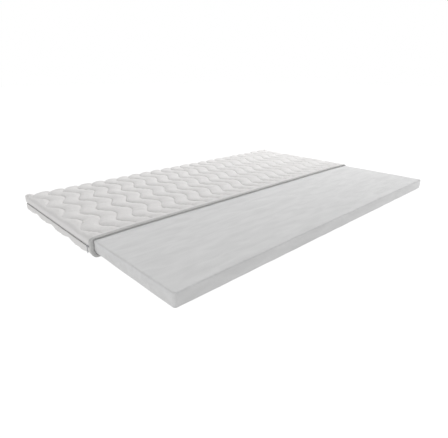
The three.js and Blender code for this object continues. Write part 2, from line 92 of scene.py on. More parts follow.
def newObject(name, data):
    made = bpy.data.objects.new(name, data)
    scene.collection.objects.link(made)
    return made


def addPiece(name, mesh, material, body, replaced=()):
    piece = newObject(name, mesh)
    mesh.materials.append(material)
    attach(piece, body)
    if replaced:
        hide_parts(*replaced)
    return piece


def blendTo(start, end, part):
    return start + (end - start) * part


def unit(vectors):
    return vectors / np.linalg.norm(vectors, axis=-1, keepdims=True)


def easeIn(values, low, high):
    # Smooth step from 0 at low to 1 at high
    part = np.clip((values - low) / (high - low), 0, 1)
    return part * part * (3 - 2 * part)


def ripple(x, y, sizes, seed):
    # Unevenness, mostly between -1 and 1: a sum of sine waves in random directions, one for each size in
    # metres
    random = np.random.default_rng(seed)
    total = 0.0
    for size in sizes:
        angle, phase = random.uniform(0, 2 * math.pi, 2)
        total = total + np.sin(2 * math.pi * (x * math.cos(angle) + y * math.sin(angle)) / size + phase)
    return total / math.sqrt(len(sizes))


# ---- Helpers: materials

def hexColour(text):
    # sRGB hex to the linear colour that the shader wants
    parts = [int(text[i : i + 2], 16) / 255 for i in (1, 3, 5)]
    return [p / 12.92 if p <= 0.04045 else ((p + 0.055) / 1.055) ** 2.4 for p in parts] + [1.0]


def addNode(tree, kind, inputs=None, **settings):
    made = tree.nodes.new("ShaderNode" + kind)
    for setting, value in settings.items():
        setattr(made, setting, value)
    for socket, value in (inputs or {}).items():
        if isinstance(value, bpy.types.NodeSocket):
            tree.links.new(value, made.inputs[socket])
        else:
            made.inputs[socket].default_value = value
    return made


def newMaterial(name, fixed):
    # A material with one Principled shader, whose fixed values sit on its own sockets
    material = bpy.data.materials.new(name)
    material.use_nodes = True
    tree = material.node_tree
    shader = tree.nodes["Principled BSDF"]
    for socket, value in fixed.items():
        shader.inputs[socket].default_value = value
    return material, tree, shader


def colourBetween(tree, shader, pattern, darkHex, lightHex, low=0.0, high=1.0):
    # Colour a surface by a pattern: dark where it is low or less, and light where it is high or more
    ramp = addNode(tree, "ValToRGB", {"Fac": pattern})
    for element, position, text in zip(ramp.color_ramp.elements, (low, high), (darkHex, lightHex)):
        element.position = position
        element.color = hexColour(text)
    tree.links.new(ramp.outputs["Color"], shader.inputs["Base Color"])


def emboss(tree, shader, *layers):
    # Raise a surface by patterns laid over one another, each with its depth in metres
    under = {}
    for height, depth in layers:
        bump = addNode(tree, "Bump", {"Height": height, "Distance": depth, **under})
        under = {"Normal": bump.outputs["Normal"]}
    tree.links.new(under["Normal"], shader.inputs["Normal"])


def ribsAcross(tree, place, axis, pitch):
    # Ribs a pitch apart: sin(2 pi place / pitch) along one axis
    parts = addNode(tree, "SeparateXYZ", {"Vector": place})
    turns = addNode(tree, "Math", {0: parts.outputs[axis], 1: 2 * math.pi / pitch}, operation="MULTIPLY")
    return addNode(tree, "Math", {0: turns.outputs[0]}, operation="SINE").outputs[0]


# Polyester double jersey, circular knitted and quilted on wadding: matt, with a faint soft sheen.
# Its 1 mm loops are drawn 2.4 mm apart, because finer ones don't show.
jersey = {
    "loopPitch": 0.0024,
    "loopDepth": 0.0001,
    "pilePerMetre": 260.0,
    "pileDepth": 0.0012,
    "cloudsPerMetre": 22.0,  # patches of slightly different whiteness
}


def jerseyMaterial(name, darkHex, lightHex):
    fixed = {"Roughness": 0.92, "Sheen Weight": 0.12, "Sheen Roughness": 0.5, "Specular IOR Level": 0.2}
    material, tree, shader = newMaterial(name, fixed)
    place = addNode(tree, "UVMap", uv_map="cloth").outputs["UV"]
    columns, rows = (ribsAcross(tree, place, axis, jersey["loopPitch"]) for axis in ("X", "Y"))
    loops = addNode(tree, "Math", {0: columns, 1: rows}, operation="MULTIPLY")
    even = {"Vector": place, "Roughness": 0.6}
    cloud = addNode(tree, "TexNoise", {**even, "Scale": jersey["cloudsPerMetre"], "Detail": 3.0})
    pile = addNode(tree, "TexNoise", {**even, "Scale": jersey["pilePerMetre"], "Detail": 2.0})
    colourBetween(tree, shader, cloud.outputs["Fac"], darkHex, lightHex)
    pileLayer = (pile.outputs["Fac"], jersey["pileDepth"])
    emboss(tree, shader, pileLayer, (loops.outputs[0], jersey["loopDepth"]))
    return material


# Open-cell polyurethane foam, slit from a block by a long blade: matt, finely pitted, and faintly
# streaked along the cut.
foam = {
    "streaksPerMetre": (7.0, 27.0, 27.0),
    "streakTurn": 0.2,
    "streakDepth": 0.0002,
    "cellsPerMetre": 420.0,
    "cellDepth": 0.0008,
}


def foamMaterial():
    material, tree, shader = newMaterial(
        "slitPolyurethaneFoam", {"Roughness": 0.97, "Specular IOR Level": 0.15}
    )
    place = addNode(tree, "TexCoord").outputs["Object"]
    turn = (0, 0, foam["streakTurn"])
    along = addNode(
        tree, "Mapping", {"Vector": place, "Rotation": turn, "Scale": foam["streaksPerMetre"]}
    )
    streaks = addNode(
        tree,
        "TexNoise",
        {"Vector": along.outputs[0], "Scale": 1.0, "Detail": 1.5, "Roughness": 0.45, "Distortion": 0.7},
    )
    pits = {"Vector": place, "Scale": foam["cellsPerMetre"], "Detail": 2.0, "Roughness": 0.7}
    cells = addNode(tree, "TexNoise", pits)
    colourBetween(tree, shader, streaks.outputs["Fac"], "#dedede", "#e6e6e6", low=0.3, high=0.7)
    cellLayer = (cells.outputs["Fac"], foam["cellDepth"])
    emboss(tree, shader, cellLayer, (streaks.outputs["Fac"], foam["streakDepth"]))
    return material


# Narrow woven polyester ribbon: matt, with fine ribs across it that run the short way.
def ribbonMaterial(name, darkHex, lightHex, pitch, depth):
    material, tree, shader = newMaterial(name, {"Roughness": 0.85, "Specular IOR Level": 0.25})
    place = addNode(tree, "UVMap", uv_map="cloth").outputs["UV"]
    cloud = addNode(tree, "TexNoise", {"Vector": place, "Scale": 60.0, "Detail": 2.0})
    colourBetween(tree, shader, cloud.outputs["Fac"], darkHex, lightHex)
    emboss(tree, shader, (ribsAcross(tree, place, "X", pitch), depth))
    return material


def cloudedMaterial(name, fixed, cloudsPerMetre, detail, darkHex, lightHex):
    # A plain finish whose colour varies a little; the clouds are given back for other uses
    material, tree, shader = newMaterial(name, fixed)
    place = addNode(tree, "TexCoord").outputs["Object"]
    cloud = addNode(tree, "TexNoise", {"Vector": place, "Scale": cloudsPerMetre, "Detail": detail})
    colourBetween(tree, shader, cloud.outputs["Fac"], darkHex, lightHex)
    return material, tree, shader, cloud.outputs["Fac"]


# Twisted polyester sewing thread: matt, and painted a light grey darker than the white cloth, as painted
# shade in the stitched furrows and hems it lies in.
def threadMaterial():
    return cloudedMaterial(
        # d2d2d1 to #e2e2e1: the real thread is white; this grey is painted shade for the furrows.
        "polyesterThreadGreyedAsPaintedShade", {"Roughness": 0.8}, 900.0, 1.0, "#d2d2d1", "#e2e2e1"
    )[0]


# Nylon monofilament, coiled and heat set: smooth, with a soft gleam.
def nylonMaterial():
    return cloudedMaterial(
        "coiledNylonMonofilament", {"Roughness": 0.42, "IOR": 1.53}, 40.0, 1.0, "#dcdcdd", "#e6e6e7"
    )[0]


# Die-cast zinc, barrel polished and nickel plated: a satin metal with faint tumbling marks.
def nickelMaterial():
    material, tree, shader, marks = cloudedMaterial(
        "satinNickelPlate", {"Metallic": 1.0}, 1500.0, 3.0, "#adaeb0", "#c0c1c3"
    )
    rough = addNode(tree, "MapRange", {"Value": marks, "To Min": 0.28, "To Max": 0.42})
    tree.links.new(rough.outputs["Result"], shader.inputs["Roughness"])
    emboss(tree, shader, (marks, 0.00002))
    return material


quiltJersey = jerseyMaterial("quiltedDoubleJersey", "#e7e6e5", "#f0eeed")
liningFleece = jerseyMaterial("needledLiningFleece", "#dddcda", "#e6e5e3")
slitFoam = foamMaterial()
bindingRibbon = ribbonMaterial("wovenBindingRibbon", "#cacac9", "#d3d3d2", pitch=0.0016, depth=0.00012)
zipRibbon = ribbonMaterial("wovenZipTape", "#dededd", "#e6e6e5", pitch=0.0012, depth=0.0001)
threadGreyedAsPaintedShade = threadMaterial()
nylon = nylonMaterial()
nickel = nickelMaterial()
print("materials made")


# ---- Cover: the sizes that its panels, linings, zip and binding share

cover = {
    "mouth": 0.564,  # from the slab's front edge, at mid height
    "legEnd": 0.574,  # the binding's back edge
    "openLength": 0.03,  # from there to where the puffs are full
    "overhang": 0.0163,
    "corner": 0.03,
    "cornerSpare": 0.001,  # least excess of a corner's radius over the roll's width
    "hemLevel": 0.005,  # hem's edge above the middle plane
    "stitchLevel": 0.0342,
    "lean": 0.42,  # how far the mouth leans back for each unit of height
    "leanFade": 0.15,
    "endLength": 0.2,  # over which the mouth comes upright
    "endBack": 0.007,
    "droop": 0.027,  # how far its foot droops forwards, between two levels
    "droopFrom": -0.016,
    "droopTo": -0.044,
    "hemThickness": 0.0022,
    "flatThickness": 0.0029,
    "hemBlend": (0.01, 0.04),  # from the seam, where the first gives way to the second
}
halfLength = slabHigh[0]
slabWidth = slabHigh[1] - slabLow[1]


def awayFromMouth(clothY):
    # 0 at the binding, 1 where the puffs are full
    return easeIn(clothY, cover["legEnd"], cover["legEnd"] + cover["openLength"])


# ---- Cloth and foam wrapped over a slab's edges

def makeWrap(halfX, halfY, width, height, corner, fullness, top):
    # A shape that cloth is wrapped over: half sizes out to the side faces, and the roll at their edge, a
    # quarter of a superellipse: outward = width sin(a)^(2/n), downward = height (1 - cos(a)^(2/n))
    angle = np.linspace(0, quarter, 900)
    out = width * np.sin(angle) ** (2 / fullness)
    down = height * (1 - np.cos(angle) ** (2 / fullness))
    lengths = np.concatenate([[0], np.cumsum(np.hypot(np.diff(out), np.diff(down)))])
    return {
        "flatX": halfX - width,
        "flatY": halfY - width,
        "cornerX": halfX - corner,
        "cornerY": halfY - corner,
        "width": width,
        "height": height,
        "corner": corner,
        "fullness": fullness,
        "top": top,
        "lengths": lengths,
        "out": out,
        "rollLength": lengths[-1],
    }


def softCap(values, cap, softness):
    # Values that come up to a cap without passing it: cap - s ln(1 + e^((cap - v) / s))
    room = (cap - values) / softness
    return cap - softness * np.logaddexp(0, room)


nose = {
    "share": 0.12,  # of a puff that is left at the hem
    "cornerShare": 0.12,  # what a corner adds to it
    "cornerFull": 0.6,  # how far into the corner that is full
    "room": 0.0014,  # the most that a puff may stand out there, clear of the hanging tab
    "rise": (0.05, 0.8),  # shares of the roll's height between which a puff grows to its full size
    "roomSoftness": 0.0007,
    "capSoftness": 0.0006,
}


def wrapped(shape, clothX, clothY, lift=0.0, puffs=None, extra=0.0):
    # Where a point of flat cloth lands: its lengths along X and Y go over the roll and down the side, a
    # square corner is squeezed to a quarter disc, and lift stands it off along the surface's normal.
    # Puffs shrink towards the nose, and stop short of what runs past it and of what they lie on. Extra
    # is a further height along the normal, such as a thread's.
    clothX, clothY = np.broadcast_arrays(clothX, clothY)
    overX = np.abs(clothX) - shape["flatX"]
    overY = np.abs(clothY) - shape["flatY"]
    planX = np.minimum(np.abs(clothX), shape["flatX"]) + np.interp(overX, shape["lengths"], shape["out"])
    planY = np.minimum(np.abs(clothY), shape["flatY"]) + np.interp(overY, shape["lengths"], shape["out"])
    straight = np.maximum(np.maximum(overX, overY) - shape["rollLength"], 0)
    pastX = (planX - shape["cornerX"]) / shape["corner"]
    pastY = (planY - shape["cornerY"]) / shape["corner"]
    squeezedX, squeezedY = np.clip(pastX, 0, 1), np.clip(pastY, 0, 1)
    inCorner = (pastX > 0) & (pastY > 0)
    discX = np.where(inCorner, pastX * np.sqrt(1 - squeezedY**2 / 2), pastX)
    discY = np.where(inCorner, pastY * np.sqrt(1 - squeezedX**2 / 2), pastY)
    away = np.where(inCorner, np.hypot(discX, discY), np.maximum(pastX, pastY))
    safe = np.where(inCorner, away, 1)
    outX = np.where(inCorner, discX / safe, pastX > pastY)
    outY = np.where(inCorner, discY / safe, pastX <= pastY)
    inset = shape["corner"] * (1 - away)
    across = np.clip(1 - inset / shape["width"], 0, 1)
    rise = (1 - across ** shape["fullness"]) ** (1 / shape["fullness"])
    slopeOut = across ** (shape["fullness"] - 1) / shape["width"]
    slopeUp = rise ** (shape["fullness"] - 1) / shape["height"]
    steep = np.hypot(slopeOut, slopeUp)
    slopeOut, slopeUp = slopeOut / steep, slopeUp / steep
    outward, upward = lift * slopeOut, lift * slopeUp
    level = shape["top"] - shape["height"] * (1 - rise) - straight
    if puffs is not None:
        atCorner = np.where(inCorner, easeIn(np.minimum(squeezedX, squeezedY), 0, nose["cornerFull"]), 0)
        least = nose["share"] + nose["cornerShare"] * atCorner
        share = blendTo(least, 1, easeIn(rise, *nose["rise"]))
        room = nose["room"] * awayFromMouth(clothY) + puffs["cornerRoom"] * atCorner
        roomy = softCap(outward * share - inset, room, nose["roomSoftness"]) + inset
        capped = softCap(level + upward * share, puffs["levelCap"], nose["capSoftness"]) - level
        outward, upward = np.where(lift > 0, roomy, outward), np.where(lift > 0, capped, upward)
    outward, upward = outward + extra * slopeOut, upward + extra * slopeUp
    return np.stack(
        [
            np.sign(clothX) * (shape["cornerX"] + discX * shape["corner"] + outX * outward),
            np.sign(clothY) * (shape["cornerY"] + discY * shape["corner"] + outY * outward),
            level + upward,
        ],
        -1,
    )


def toPlace(points, below=False):
    # From half a cover's own frame (Y from the slab's front edge, Z from its middle plane) to the part's
    # frame. The cloth near the mouth leans back, y + lean z, but stands upright at the slab's ends, down
    # to where it droops forwards; both fade behind the binding.
    placed = points * [1, 1, -1.0 if below else 1.0]
    standing = easeIn(placed[..., 1], cover["legEnd"], cover["legEnd"] + cover["leanFade"])
    level = placed[..., 2]
    atEnd = easeIn(np.abs(placed[..., 0]), halfLength - cover["endLength"], halfLength)
    drooping = 1 - easeIn(level, cover["droopTo"], cover["droopFrom"])
    upright = cover["endBack"] - cover["droop"] * drooping
    placed[..., 1] += blendTo(cover["lean"] * level, upright, atEnd) * (1 - standing)
    return placed + [0, frontY, middleZ]


# ---- Foam slab

slab = {
    "edgeRadius": 0.0065,
    "cornerRadius": 0.013,
    "step": 0.012,
    "onRoll": (0.14, 0.28, 0.42, 0.56, 0.7, 0.84),  # grid lines on its rounded edge: shares of it
    "beyondRoll": (0, 0.003, 0.007, 0.012),
    "waver": 0.0007,  # how far its cut faces stray from true
    "edgeBand": 0.02,  # width beside an edge in which the top's waver calms and the side's begins
    "edgeCalm": 0.6,
    "faceWaves": (0.31, 0.17, 0.11),
    "endWaves": (0.23, 0.12, 0.07),
    "sideWaves": (0.27, 0.14, 0.08),
    "upShare": 3,  # the sides' waves are this much shorter up and down
}


def spread(half, near, step):
    # Grid lines from -half to half: close together near both ends, and step apart between
    inner = np.linspace(-(half - near[-1]), half - near[-1], int(2 * (half - near[-1]) / step))
    ends = half - np.array(near[:-1])
    return np.concatenate([-ends, inner, ends[::-1]])


def foamSlab():
    halfX = slabHigh[0] - slab["waver"]
    halfY = (slabHigh[1] - slabLow[1]) / 2 - slab["waver"]
    top = halfSlab - slab["waver"] / 2
    shape = makeWrap(halfX, halfY, slab["edgeRadius"], slab["edgeRadius"], slab["cornerRadius"], 2, top)
    side = top - slab["edgeRadius"]
    edge = side + shape["rollLength"]
    onRoll = side + shape["rollLength"] * np.array(slab["onRoll"])
    near = np.concatenate([np.linspace(0, side, 5), onRoll, edge + np.array(slab["beyondRoll"])])
    x = spread(shape["flatX"] + edge, near, slab["step"])
    y = spread(shape["flatY"] + edge, near, slab["step"])
    upper = wrapped(shape, *np.meshgrid(x, y))
    lower = upper * [1, 1, -1]
    for half, seed in ((upper, 3), (lower, 5)):
        px, py = half[..., 0].copy(), half[..., 1].copy()
        onEnd = 1 - np.clip((halfX - abs(px)) / slab["edgeBand"], 0, 1)
        onSide = 1 - np.clip((halfY - abs(py)) / slab["edgeBand"], 0, 1)
        calm = 1 - slab["edgeCalm"] * np.maximum(onEnd, onSide)
        stray = slab["waver"] / 2 * ripple(px, py, slab["faceWaves"], seed)
        half[..., 2] += np.sign(half[..., 2]) * stray * calm
        pz = half[..., 2] * slab["upShare"]
        half[..., 0] += np.sign(px) * slab["waver"] * onEnd * ripple(py, pz, slab["endWaves"], 7)
        half[..., 1] += np.sign(py) * slab["waver"] * onSide * ripple(px, pz, slab["sideWaves"], 11)
    rows, columns = upper.shape[:2]
    index = np.arange(rows * columns).reshape(rows, columns)
    rim = np.zeros((rows, columns), bool)
    rim[[0, -1]] = rim[:, [0, -1]] = True
    # The lower half shares the rim's points with the upper one
    lowerIndex = np.where(rim, index, 0)
    lowerIndex[~rim] = rows * columns + np.arange((~rim).sum())
    points = np.concatenate([upper.reshape(-1, 3), lower[~rim]])
    points[index[rim]] = (upper + lower)[rim] / 2
    upperQuads = gridQuads(rows, columns)
    lowerQuads = lowerIndex.ravel()[upperQuads][:, ::-1]
    points = points + [0, (slabLow[1] + slabHigh[1]) / 2, middleZ]
    mesh = makeMesh("foamSlab", points, np.concatenate([upperQuads, lowerQuads]))
    return addPiece("foamSlab", mesh, slitFoam, "core", ["foam_core"])


foamSlab()
print("foam slab made")


# ---- Quilted panels

quilting = {
    "pitch": 0.0855,
    "lines": 24,
    "length": 0.215,
    "swing": 0.024,
    "fullness": 0.58,
    "lobe": 0.5,  # roundness of the border's scallops, which are fuller the lower it is
    "unevenness": 0.07,
    "unevenSizes": (0.19, 0.27, 0.35, 0.13),
    "borderBlend": 0.012,  # half the width over which a puff changes into the border's
    "borderDome": 0.85,  # height of the border's roll where its furrows are smoothed out
    "across": 14,  # columns of the mesh in each channel
    "border": 24,
    "firstRow": 0.002,  # from the binding's back edge
    "rowStep": 0.0042,
    "rollRows": 26,
    "inside": (70, 26),  # columns and rows of the inside's flat
    "insideRoll": 12,
}
panels = [
    {
        "name": "upperQuilt",
        "node": "upper_quilt",
        "rollWidth": 0.034,
        "fullness": 3,
        "firstLine": 0.0285,  # its middle, from the slab's end
        "crest": 0.589,  # where a line is furthest towards +X
        "seed": 21,
        "puff": 0.0103,
        "endPuff": 0.0085,
        "backPuff": 0.012,
        "mouthPuff": 0.0045,
        "scallop": 0.2,
        "furrowFade": 0.45,  # how far the border's roll smooths out the stitch lines
        "cornerRoom": 0.0045,
        "cornerPuff": 0.0175,
        "levelCap": 0.046,
        "below": False,
    },
    {
        "name": "lowerQuilt",
        "node": "lower_quilt",
        "rollWidth": 0.026,
        "fullness": 4,
        "firstLine": 0.0165,
        "crest": 0.7065,
        "seed": 22,
        "puff": 0.0075,
        "endPuff": 0.0125,
        "backPuff": 0.0105,
        "mouthPuff": 0.0044,
        "scallop": 0.75,
        "furrowFade": 0,
        "cornerRoom": 0.0035,
        "cornerPuff": 0.0128,
        "levelCap": 0.0402,  # pressed flat on what it lies on
        "below": True,
    },
]
upperPanel, lowerPanel = panels
for panelOf in panels:
    shape = makeWrap(
        halfLength + cover["overhang"],
        slabWidth + cover["overhang"],
        panelOf["rollWidth"],
        cover["stitchLevel"] - cover["hemLevel"],
        max(cover["corner"], panelOf["rollWidth"] + cover["cornerSpare"]),
        panelOf["fullness"],
        cover["stitchLevel"],
    )
    panelOf["shape"] = shape
    panelOf["seamX"] = shape["flatX"] + shape["rollLength"]
    panelOf["seamY"] = shape["flatY"] + shape["rollLength"]


def stitchLine(number, clothY, panelOf):
    phase = 2 * math.pi * (clothY - panelOf["crest"]) / quilting["length"]
    middle = -halfLength + panelOf["firstLine"] + number * quilting["pitch"]
    return middle + quilting["swing"] * np.cos(phase)


# A few channels' width of cloth, pinned along its stitch lines and blown up from under: Cloth gives the
# puffs their unevenness and the puckers beside the seams
channelPatch = {
    "channels": 3,
    "columns": 16,  # in each channel
    "from": -0.215,  # along the cloth, from a line's furthest point
    "to": 1.29,
    "rowStep": 0.005,
    "rough": 0.0002,  # unevenness that it starts with
    "frames": 20,
    "highest": 1.6,  # in mean crests
    "share": 0.4,  # of its puckers that the wadding lets through
    "shifts": 3,  # places along it that a panel's channels are taken from
    "cloth": {
        "quality": 6,
        "mass": 0.2,
        "tension_stiffness": 20,
        "compression_stiffness": 20,
        "bending_stiffness": 0.05,
        "air_damping": 4,
        "vertex_group_mass": "sewn",
        "shrink_min": -0.04,  # slack
        "use_pressure": True,
        "uniform_pressure_force": 7.0,
    },
}


def channelCloth():
    rows = np.arange(channelPatch["from"], channelPatch["to"], channelPatch["rowStep"])
    count = channelPatch["channels"] * channelPatch["columns"] + 1
    clothY, across = np.meshgrid(rows, np.arange(count) / channelPatch["columns"], indexing="ij")
    turn = 2 * math.pi * clothY / quilting["length"]
    clothX = quilting["pitch"] * across + quilting["swing"] * np.cos(turn)
    start = np.random.default_rng(17).uniform(0, channelPatch["rough"], clothX.shape)
    points = np.stack([clothX, clothY, start], -1).reshape(-1, 3)
    mesh = makeMesh("channelCloth", points, gridQuads(*clothX.shape))
    patch = newObject("channelCloth", mesh)
    sewn = np.zeros(clothX.shape, bool)
    sewn[:, :: channelPatch["columns"]] = sewn[[0, -1]] = True
    patch.vertex_groups.new(name="sewn").add(np.flatnonzero(sewn).tolist(), 1.0, "REPLACE")
    cloth = patch.modifiers.new("cloth", "CLOTH")
    cloth.point_cache.frame_end = channelPatch["frames"]
    for setting, value in channelPatch["cloth"].items():
        setattr(cloth.settings, setting, value)
    cloth.settings.effector_weights.gravity = 0
    for step in range(1, channelPatch["frames"] + 1):
        scene.frame_set(step)
    blown = patch.evaluated_get(bpy.context.evaluated_depsgraph_get()).to_mesh()
    places = np.zeros(3 * len(blown.vertices))
    blown.vertices.foreach_get("co", places)
    heights = places[2::3].reshape(clothX.shape)
    bpy.data.objects.remove(patch)
    bpy.data.meshes.remove(mesh)
    scene.frame_set(1)
    crest = heights[:, channelPatch["columns"] // 2 :: channelPatch["columns"]]
    print("cloth patch: crest", crest.mean(), crest.std(), heights.min(), heights.max())
    return np.clip(heights / crest.mean(), 0, channelPatch["highest"])


def blownUp(clothX, clothY, panelOf):
    # Height of the cloth patch at a place on a panel, by bilinear interpolation, as a share of its mean
    # crest. Every third channel comes back to the same strip, a wave or two further along.
    across = (clothX - stitchLine(0, clothY, panelOf)) / quilting["pitch"]
    channel = np.floor(across)
    part = across - channel
    arch = 4 * part * (1 - part)
    if clothHeights is None:
        return arch
    strip = channel % channelPatch["channels"]
    shift = quilting["length"] * (channel // channelPatch["channels"] % channelPatch["shifts"])
    column = (strip + part) * channelPatch["columns"]
    row = (clothY - panelOf["crest"] + shift - channelPatch["from"]) / channelPatch["rowStep"]
    # A little short of the last row and column, so that each has a next one
    row, column = (np.clip(v, 0, size - 1.001) for v, size in zip((row, column), clothHeights.shape))
    r, c = row.astype(int), column.astype(int)
    above = blendTo(clothHeights[r, c], clothHeights[r, c + 1], column - c)
    below = blendTo(clothHeights[r + 1, c], clothHeights[r + 1, c + 1], column - c)
    return blendTo(arch, blendTo(above, below, row - r), channelPatch["share"])


clothHeights = channelCloth()


def puffLift(clothX, clothY, panelOf):
    # Height of the wadding over its stitch lines: the blown-up cloth's arch to a power, fuller round the
    # border, and gathered there into scallops by the first line's waves
    domed = blownUp(clothX, clothY, panelOf) ** quilting["fullness"]
    stray = ripple(clothX, clothY, quilting["unevenSizes"], panelOf["seed"])
    flatX, flatY, blend = panelOf["shape"]["flatX"], panelOf["shape"]["flatY"], quilting["borderBlend"]
    overEnd = easeIn(abs(clothX), flatX - blend, flatX + blend)
    overBack = easeIn(clothY, flatY - blend, flatY + blend)
    puff = blendTo(panelOf["puff"], panelOf["endPuff"], overEnd)
    puff = blendTo(puff, panelOf["backPuff"], overBack)
    puff = blendTo(puff, panelOf["cornerPuff"], overEnd * overBack)
    domed = blendTo(domed, quilting["borderDome"], overEnd * panelOf["furrowFade"])
    wave = np.sin(math.pi * (clothY - panelOf["crest"] - quilting["length"] / 2) / quilting["length"])
    gathered = 1 - panelOf["scallop"] * overEnd * (1 - np.abs(wave) ** quilting["lobe"])
    full = puff * domed * (1 + quilting["unevenness"] * stray) * gathered
    return blendTo(panelOf["mouthPuff"], full, awayFromMouth(clothY))


def rimOf(index):
    # Point numbers round the edge of a grid: front, right side, back, left side
    return np.concatenate([index[0, :-1], index[:-1, -1], index[-1, :0:-1], index[:0:-1, 0]])


def bridgeByPlace(outer, inner, uv):
    # Triangles between two loops that lie along each other, matched by their place on the flat cloth:
    # each outer edge joins the last inner point that it has passed
    tiny = 1e-9
    low, high = uv[outer].min(0), uv[outer].max(0)

    def along(loop):
        # Front, right side, back and left side, from 0 to 4
        x, y = ((uv[loop] - low) / (high - low)).T
        side = np.select([y < tiny, x > 1 - tiny, y > 1 - tiny], [0, 1, 2], 3)
        return side + np.choose(side, [x, y, 1 - x, 1 - y])

    near = np.searchsorted(along(inner), along(outer) + tiny) - 1
    near = np.append(near, len(inner))
    here, after = outer, np.roll(outer, -1)
    a = inner[near[:-1] % len(inner)]
    b = inner[near[1:] % len(inner)]
    first = np.stack([here, after, a], -1)
    second = np.stack([after, b, a], -1)[a != b]
    return np.concatenate([first, second])


def quiltPanel(panelOf):
    shape, seamX, seamY = panelOf["shape"], panelOf["seamX"], panelOf["seamY"]
    flatX, flatY = shape["flatX"], shape["flatY"]
    rows = np.concatenate(
        [
            [cover["mouth"], cover["legEnd"]],
            np.arange(cover["legEnd"] + quilting["firstRow"], flatY, quilting["rowStep"]),
            np.linspace(flatY, seamY, quilting["rollRows"]),
        ]
    )
    lines = np.stack([stitchLine(n, rows, panelOf) for n in range(quilting["lines"])], -1)
    inChannel = (1 - np.cos(np.linspace(0, math.pi, quilting["across"] + 1)[:-1])) / 2
    inBorder = np.sin(np.linspace(0, quarter, quilting["border"] + 1))
    left = blendTo(-seamX, lines[:, :1], inBorder[None, :-1])
    middle = (lines[:, :-1, None] + quilting["pitch"] * inChannel).reshape(len(rows), -1)
    right = blendTo(lines[:, -1:], seamX, 1 - inBorder[::-1][None, :])
    clothX = np.concatenate([left, middle, right], -1)
    clothY = np.broadcast_to(rows[:, None], clothX.shape)
    outer = wrapped(shape, clothX, clothY, puffLift(clothX, clothY, panelOf), panelOf)
    index = np.arange(clothX.size).reshape(clothX.shape)
    # The inside: a plain sheet at the wadding's back, coarser than the outside
    roll = np.linspace(0, seamX - flatX, quilting["insideRoll"])[1:]
    columnCount, rowCount = quilting["inside"]
    insideX = [-(flatX + roll)[::-1], np.linspace(-flatX, flatX, columnCount), flatX + roll]
    insideY = [np.linspace(cover["mouth"], flatY, rowCount), flatY + roll]
    innerX, innerY = np.meshgrid(np.concatenate(insideX), np.concatenate(insideY))
    fromSeam = np.minimum(seamX - abs(innerX), seamY - innerY)
    pastHem = easeIn(fromSeam, *cover["hemBlend"])
    thickness = blendTo(cover["hemThickness"], cover["flatThickness"], pastHem)
    inner = wrapped(shape, innerX, innerY, -thickness)
    innerIndex = index.size + np.arange(innerX.size).reshape(innerX.shape)
    points = toPlace(np.concatenate([outer.reshape(-1, 3), inner.reshape(-1, 3)]), panelOf["below"])
    points[:, 2] = np.maximum(points[:, 2], floorClearance)
    uv = np.concatenate(
        [np.stack([x.ravel(), y.ravel()], -1) for x, y in ((clothX, clothY), (innerX, innerY))]
    )
    quads = np.concatenate([gridQuads(*index.shape), index.size + gridQuads(*innerX.shape)[:, ::-1]])
    triangles = bridgeByPlace(rimOf(index), rimOf(innerIndex), uv)[:, ::-1]
    if panelOf["below"]:
        quads, triangles = quads[:, ::-1], triangles[:, ::-1]
    mesh = makeMesh(panelOf["name"], points, quads, triangles, uv)
    return addPiece(panelOf["name"], mesh, quiltJersey, "cover", [panelOf["node"]])


for panelOf in panels:
    quiltPanel(panelOf)
print("quilted panels made")


# ---- Stitching

stitching = {
    "length": 0.0045,
    "radius": 0.0004,
    "samples": 4,  # points of the path in each stitch
    "sides": 3,
    "dip": 0.0005,
    "sunk": 0.8,  # share of the dip by which the whole thread lies lower
    "fromHem": 0.004,
    "linesEnd": 0.008,  # before the hem's row
    "fromEdge": 0.002,  # of the binding
    "underBinding": 0.004,  # how far the panels' rows go on under it
    "probe": 0.001,  # height at which the way up from the cloth is found
}


def threadTube(name, path, normal, closed=False):
    # Sewn thread as a thin tube along paths over a surface, one path to a row of the arrays. It dips
    # into the cloth between stitches: centre = path + normal dip (|sin(pi length / stitch)| - sunk).
    step = np.roll(path, -1, 1) - np.roll(path, 1, 1) if closed else np.gradient(path, axis=1)
    side = np.cross(normal, unit(step))
    gaps = np.linalg.norm(np.diff(path, axis=1), axis=-1)
    length = np.concatenate([np.zeros((len(path), 1)), np.cumsum(gaps, 1)], 1)
    wave = np.abs(np.sin(math.pi * length / stitching["length"]))
    centre = path + normal * (stitching["dip"] * (wave - stitching["sunk"]))[..., None]
    around = 2 * math.pi * np.arange(stitching["sides"]) / stitching["sides"] + quarter
    ring = np.cos(around)[:, None] * side[:, :, None] + np.sin(around)[:, None] * normal[:, :, None]
    points = centre[:, :, None] + stitching["radius"] * ring
    points[..., 2] = np.maximum(points[..., 2], floorClearance)
    paths, steps, sides = points.shape[:3]
    quads = gridQuads(steps, sides, closedRows=closed, closedColumns=True)
    quads = (quads[None] + (np.arange(paths) * steps * sides)[:, None, None]).reshape(-1, 4)
    mesh = makeMesh(name, points.reshape(-1, 3), quads[:, ::-1])
    return addPiece(name, mesh, threadGreyedAsPaintedShade, "cover")


def threadOnPanel(name, clothX, clothY, panelOf):
    lift = puffLift(clothX, clothY, panelOf)
    path, above = (
        toPlace(wrapped(panelOf["shape"], clothX, clothY, lift, panelOf, extra), panelOf["below"])
        for extra in (0, stitching["probe"])
    )
    return threadTube(name, path, unit(above - path))


